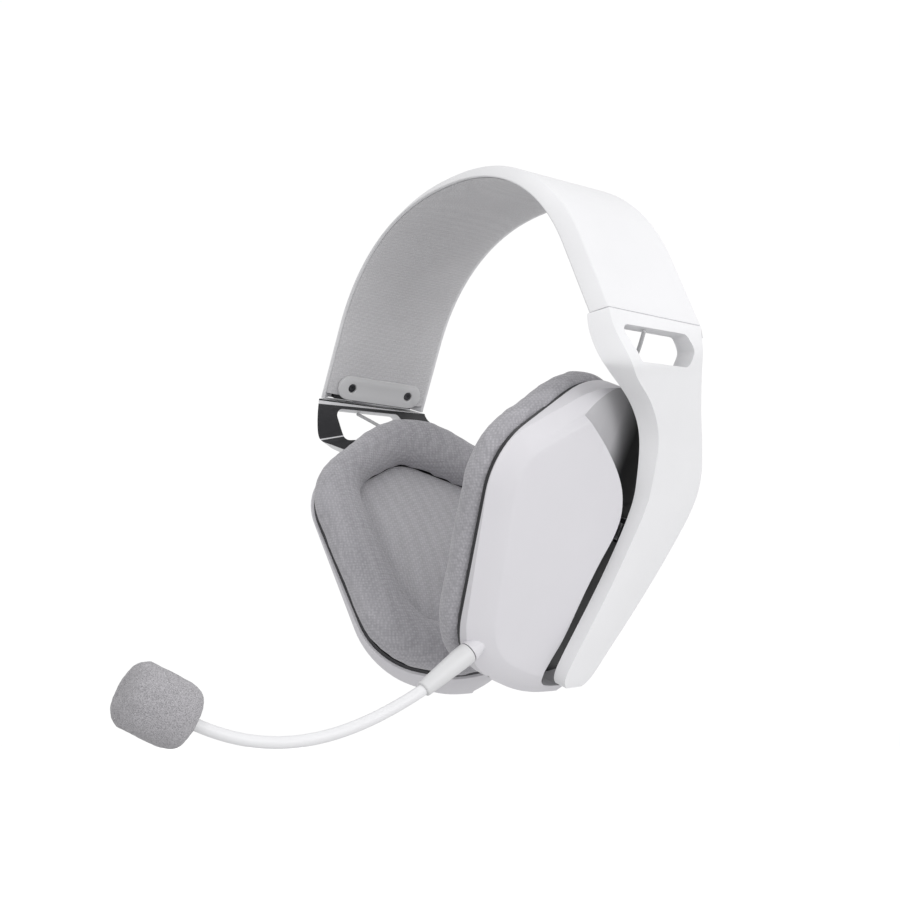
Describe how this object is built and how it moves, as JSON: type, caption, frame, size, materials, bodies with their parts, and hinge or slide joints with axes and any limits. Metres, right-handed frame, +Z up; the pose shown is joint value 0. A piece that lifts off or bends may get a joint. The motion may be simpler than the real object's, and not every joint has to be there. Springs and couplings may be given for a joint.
{
  "type": "gaming headset",
  "caption": "Over-ear headset: sprung headband, sliding forked yokes, tilting padded ear cups and a plug-in boom microphone with a foam windscreen.",
  "frame": {"origin": "underside of the headband lining at the top of the arch, in the middle of its width", "axes": "+Z up, +X to the wearer's left (the side with the microphone), -Y the way the wearer faces"},
  "size_m": [0.1856, 0.2015, 0.2109],
  "materials": {
    "white_plastic": "satin moulded, faint orange peel",
    "light_grey_plastic": "fine matt texture",
    "lining_fabric": "fine knit",
    "knit_fabric": "coarse sports knit",
    "grey_foam": "open-cell foam",
    "dark_plastic": "matt",
    "steel": "brushed",
    "dark_screw": "blackened",
    "film": "thin pressed film",
    "circuit_board": "solder mask",
    "battery_foil": "crimped foil"
  },
  "bodies": {
    "headband": {"end_plate_left": "light_grey_plastic", "end_plate_right": "light_grey_plastic", "end_screw_left_front": "dark_screw", "end_screw_left_rear": "dark_screw", "end_screw_right_front": "dark_screw", "end_screw_right_rear": "dark_screw", "headband_liner": "lining_fabric", "headband_shell": "white_plastic", "headband_spring": "steel", "slider_guide_left": "dark_plastic", "slider_guide_right": "dark_plastic"},
    "yoke_left": {"lead_wire_left": "white_plastic", "slider_strip_left": "steel", "yaw_pin_left": "steel", "yoke_bracket_left": "steel", "yoke_inner_cover_left": "dark_plastic", "yoke_left": "white_plastic"},
    "gimbal_left": {"gimbal_block_left": "dark_plastic"},
    "cup_left": {"circuit_board": "circuit_board", "cup_baffle_left": "dark_plastic", "cup_bracket_left": "steel", "cup_shell_left": "light_grey_plastic", "driver_cloth_left": "knit_fabric", "driver_diaphragm_left": "film", "driver_frame_left": "dark_plastic", "driver_magnet_left": "steel", "ear_pad_left": "knit_fabric", "mic_socket": "dark_plastic", "pad_frame_left": "dark_plastic", "tilt_pin_left": "steel", "usb_port": "steel"},
    "yoke_right": {"lead_wire_right": "white_plastic", "slider_strip_right": "steel", "yaw_pin_right": "steel", "yoke_bracket_right": "steel", "yoke_inner_cover_right": "dark_plastic", "yoke_right": "white_plastic"},
    "gimbal_right": {"gimbal_block_right": "dark_plastic"},
    "cup_right": {"battery_cell": "battery_foil", "cup_baffle_right": "dark_plastic", "cup_bracket_right": "steel", "cup_shell_right": "light_grey_plastic", "driver_cloth_right": "knit_fabric", "driver_diaphragm_right": "film", "driver_frame_right": "dark_plastic", "driver_magnet_right": "steel", "ear_pad_right": "knit_fabric", "pad_frame_right": "dark_plastic", "tilt_pin_right": "steel"},
    "power_button": {"power_button": "white_plastic"},
    "mute_button": {"mute_button": "white_plastic"},
    "volume_wheel": {"volume_wheel": "white_plastic"},
    "mic_boom": {"boom_root": "white_plastic", "mic_plug": "steel", "mic_sleeve": "white_plastic"},
    "mic_tip": {"boom_tip": "white_plastic", "mic_capsule": "steel", "mic_capsule_holder": "dark_plastic", "mic_foam": "grey_foam"}
  },
  "joints": [
    {"name": "height_slide_left", "type": "slide", "parent": "headband", "child": "yoke_left", "axis": [0.4397, 0, -0.8981], "range_m": [0, 0.02]},
    {"name": "cup_swivel_left", "type": "hinge", "parent": "yoke_left", "child": "gimbal_left", "pos_m": [0.04696, 0.02493, -0.13038], "axis": [0.4158, 0.1114, 0.9026], "range_deg": [-4, 4]},
    {"name": "cup_tilt_left", "type": "hinge", "parent": "gimbal_left", "child": "cup_left", "pos_m": [0.04504, 0.02442, -0.12944], "axis": [0.2588, -0.9659, 0], "range_deg": [0, 7]},
    {"name": "height_slide_right", "type": "slide", "parent": "headband", "child": "yoke_right", "axis": [-0.4397, 0, -0.8981], "range_m": [0, 0.02]},
    {"name": "cup_swivel_right", "type": "hinge", "parent": "yoke_right", "child": "gimbal_right", "pos_m": [-0.04696, 0.02493, -0.13038], "axis": [0.4158, -0.1114, -0.9026], "range_deg": [-4, 4]},
    {"name": "cup_tilt_right", "type": "hinge", "parent": "gimbal_right", "child": "cup_right", "pos_m": [-0.04504, 0.02442, -0.12944], "axis": [0.2588, 0.9659, 0], "range_deg": [0, 7]},
    {"name": "power_button_press", "type": "slide", "parent": "cup_left", "child": "power_button", "axis": [0.353, -0.909, 0.2217], "range_m": [0, 0.0006], "stiffness_N_per_m": 400, "springref_m": -0.0005},
    {"name": "mute_button_press", "type": "slide", "parent": "cup_left", "child": "mute_button", "axis": [0.353, -0.909, 0.2217], "range_m": [0, 0.0006], "stiffness_N_per_m": 400, "springref_m": -0.0005},
    {"name": "volume_wheel_turn", "type": "hinge", "parent": "cup_left", "child": "volume_wheel", "pos_m": [0.02519, 0.02644, -0.1502], "axis": [0.8718, 0.2336, -0.4305], "range_deg": [-135, 135]},
    {"name": "mic_unplug", "type": "slide", "parent": "cup_left", "child": "mic_boom", "axis": [-0.1123, -0.7939, -0.5976], "range_m": [0, 0.014]},
    {"name": "mic_bend", "type": "hinge", "parent": "mic_boom", "child": "mic_tip", "pos_m": [0.02233, -0.09227, -0.20195], "axis": [-0.9901, 0.14, 0], "range_deg": [-20, 20]}
  ]
}
